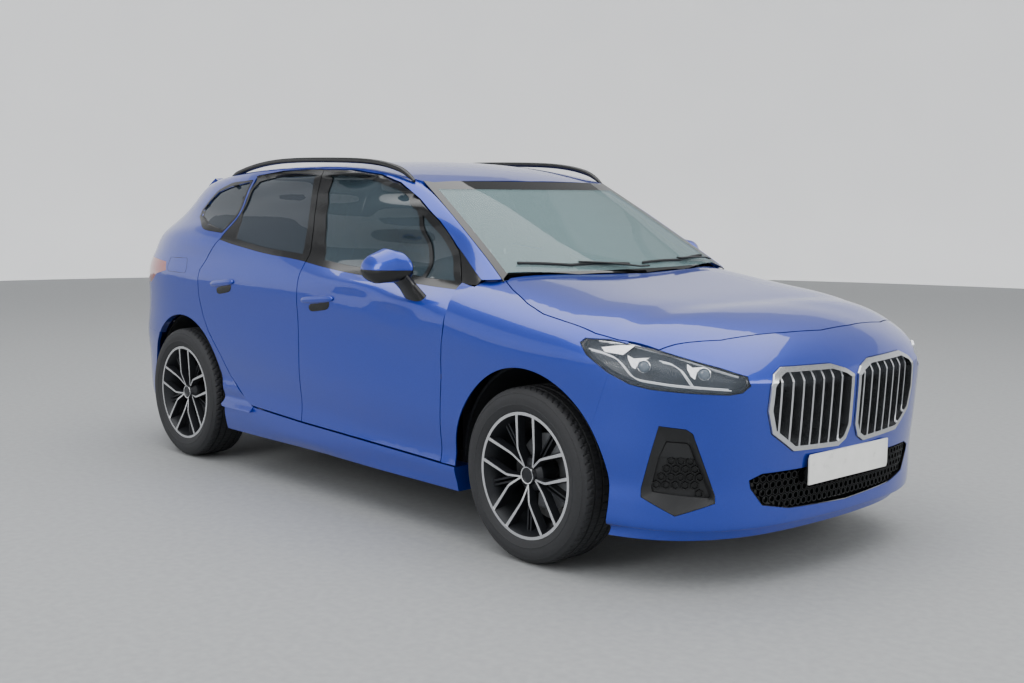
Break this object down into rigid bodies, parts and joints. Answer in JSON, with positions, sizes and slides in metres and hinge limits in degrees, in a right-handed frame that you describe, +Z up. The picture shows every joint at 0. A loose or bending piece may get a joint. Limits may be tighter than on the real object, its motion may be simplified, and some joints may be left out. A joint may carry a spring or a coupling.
{
  "type": "compact minivan",
  "caption": "Compact five-door people carrier with twin upright grilles, roof rails, opening doors, bonnet and tailgate, steered front wheels and a fitted cabin.",
  "frame": {"origin": "on the ground under the middle of the car's length and width", "axes": "+X forward, +Y to the car's left, +Z up"},
  "size_m": [4.3928, 2.079, 1.5785],
  "materials": {
    "paint": "metallic blue under clear lacquer",
    "lamp_lens": "clear polycarbonate",
    "tail_lens": "red acrylic",
    "satin_silver": "satin",
    "black_plastic": "grained",
    "gloss_black": "gloss",
    "cabin_plastic": "soft grained",
    "window_glass": "laminated",
    "privacy_glass": "tinted",
    "steel": "pressed and coated",
    "iron": "as cast",
    "seat_fabric": "woven",
    "wheel_leather": "smooth",
    "tyre": "moulded rubber",
    "alloy": "machined and painted"
  },
  "bodies": {
    "body": {"body_side_left": "paint", "body_side_right": "paint", "bulkhead": "steel", "dashboard": "cabin_plastic", "engine": "iron", "exhaust": "steel", "floor_pan": "steel", "front_bumper": "paint", "front_frame": "steel", "front_seats": "seat_fabric", "front_wing_left": "paint", "front_wing_right": "paint", "grille_black": "black_plastic", "grille_frames": "satin_silver", "headlamps": "lamp_lens", "hinge_pins": "steel", "pillar_posts": "cabin_plastic", "quarter_glass": "privacy_glass", "rear_axle": "iron", "rear_bench": "seat_fabric", "rear_bumper": "paint", "roof_panel": "paint", "roof_rails": "gloss_black", "screen_pillar_left": "paint", "screen_pillar_right": "paint", "tail_lamps": "tail_lens", "tunnel": "steel", "window_trim": "gloss_black", "windscreen": "window_glass"},
    "left_front_door": {"front_door_card_left": "cabin_plastic", "front_door_glass_left": "window_glass", "front_door_left": "paint", "mirror_left": "paint"},
    "right_front_door": {"front_door_card_right": "cabin_plastic", "front_door_glass_right": "window_glass", "front_door_right": "paint", "mirror_right": "paint"},
    "left_rear_door": {"rear_door_card_left": "cabin_plastic", "rear_door_glass_left": "privacy_glass", "rear_door_left": "paint"},
    "right_rear_door": {"rear_door_card_right": "cabin_plastic", "rear_door_glass_right": "privacy_glass", "rear_door_right": "paint"},
    "tailgate": {"tailgate": "paint", "tailgate_glass": "privacy_glass"},
    "bonnet": {"bonnet": "paint"},
    "left_knuckle": {"knuckle_left": "iron"},
    "right_knuckle": {"knuckle_right": "iron"},
    "left_front_wheel": {"rim_front_left": "alloy", "tyre_front_left": "tyre"},
    "right_front_wheel": {"rim_front_right": "alloy", "tyre_front_right": "tyre"},
    "left_rear_wheel": {"rim_rear_left": "alloy", "tyre_rear_left": "tyre"},
    "right_rear_wheel": {"rim_rear_right": "alloy", "tyre_rear_right": "tyre"},
    "steering_wheel": {"steering_wheel": "wheel_leather"}
  },
  "joints": [
    {"name": "left_front_door_hinge", "type": "hinge", "parent": "body", "child": "left_front_door", "pos_m": [0.838, 0.8943, 0.7], "axis": [0, 0, -1], "range_deg": [0, 62]},
    {"name": "right_front_door_hinge", "type": "hinge", "parent": "body", "child": "right_front_door", "pos_m": [0.838, -0.8943, 0.7], "axis": [0, 0, 1], "range_deg": [0, 62]},
    {"name": "left_rear_door_hinge", "type": "hinge", "parent": "body", "child": "left_rear_door", "pos_m": [-0.207, 0.9037, 0.886], "axis": [0, 0, -1], "range_deg": [0, 65]},
    {"name": "right_rear_door_hinge", "type": "hinge", "parent": "body", "child": "right_rear_door", "pos_m": [-0.207, -0.9037, 0.886], "axis": [0, 0, 1], "range_deg": [0, 65]},
    {"name": "tailgate_hinge", "type": "hinge", "parent": "body", "child": "tailgate", "pos_m": [-1.352, 0, 1.518], "axis": [0, 1, 0], "range_deg": [0, 80]},
    {"name": "bonnet_hinge", "type": "hinge", "parent": "body", "child": "bonnet", "pos_m": [0.925, 0, 1.08], "axis": [0, -1, 0], "range_deg": [0, 50]},
    {"name": "left_steer", "type": "hinge", "parent": "body", "child": "left_knuckle", "pos_m": [1.331, 0.712, 0.341], "axis": [0, 0, 1], "range_deg": [-35, 35]},
    {"name": "right_steer", "type": "hinge", "parent": "body", "child": "right_knuckle", "pos_m": [1.331, -0.712, 0.341], "axis": [0, 0, 1], "range_deg": [-35, 35]},
    {"name": "steering_wheel_turn", "type": "hinge", "parent": "body", "child": "steering_wheel", "pos_m": [0.505, -0.37, 0.905], "axis": [0.9061, 0, -0.423], "range_deg": [-495, 495]},
    {"name": "left_front_spin", "type": "hinge", "parent": "left_knuckle", "child": "left_front_wheel", "pos_m": [1.331, 0.791, 0.341], "axis": [0, 1, 0], "continuous": true},
    {"name": "right_front_spin", "type": "hinge", "parent": "right_knuckle", "child": "right_front_wheel", "pos_m": [1.331, -0.791, 0.341], "axis": [0, 1, 0], "continuous": true},
    {"name": "left_rear_spin", "type": "hinge", "parent": "body", "child": "left_rear_wheel", "pos_m": [-1.339, 0.791, 0.341], "axis": [0, 1, 0], "continuous": true},
    {"name": "right_rear_spin", "type": "hinge", "parent": "body", "child": "right_rear_wheel", "pos_m": [-1.339, -0.791, 0.341], "axis": [0, 1, 0], "continuous": true}
  ],
  "couplings": [
    {"joint": "right_steer", "follows": "left_steer", "ratio": 1},
    {"joint": "steering_wheel_turn", "follows": "left_steer", "ratio": -14}
  ]
}
